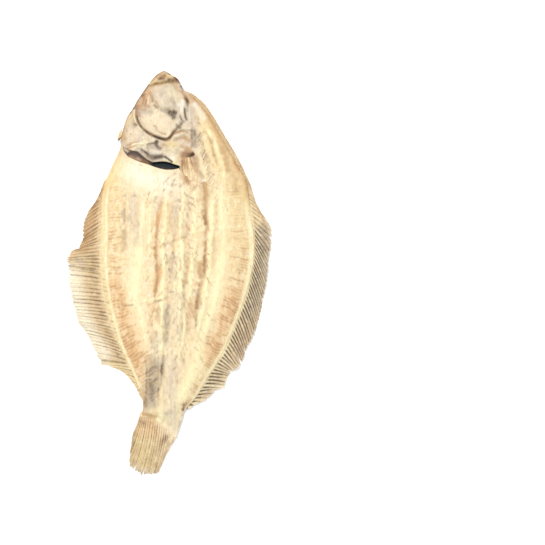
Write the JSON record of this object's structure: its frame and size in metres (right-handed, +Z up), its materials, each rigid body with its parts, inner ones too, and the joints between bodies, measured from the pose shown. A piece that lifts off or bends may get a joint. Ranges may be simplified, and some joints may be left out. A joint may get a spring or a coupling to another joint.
{
  "type": "dried dab",
  "caption": "Whole dried flatfish lying on its eyed side, pale blind side up, with ribbed fins along both edges and an open gill slit.",
  "frame": {"origin": "middle of the whole fish's length and width, on the surface that it lies on", "axes": "+Y towards the snout, +X towards the dorsal edge, +Z up out of the pale blind side"},
  "size_m": [0.137, 0.269, 0.0134],
  "materials": {
    "skin": "dried fish skin, cream and wrinkled on the blind side, dark brown on the eyed side",
    "fin": "dried translucent fin web, straw to brown, ribbed by its rays",
    "eye": "dark, sunken and glossy"
  },
  "bodies": {
    "root": {"body": "skin", "anal_fin": "fin", "dorsal_fin": "fin", "tail_fin": "fin", "blind_pectoral_fin": "fin", "eyed_pectoral_fin": "fin", "blind_pelvic_fin": "fin", "eyed_pelvic_fin": "fin", "upper_eye": "eye", "lower_eye": "eye"}
  },
  "joints": []
}
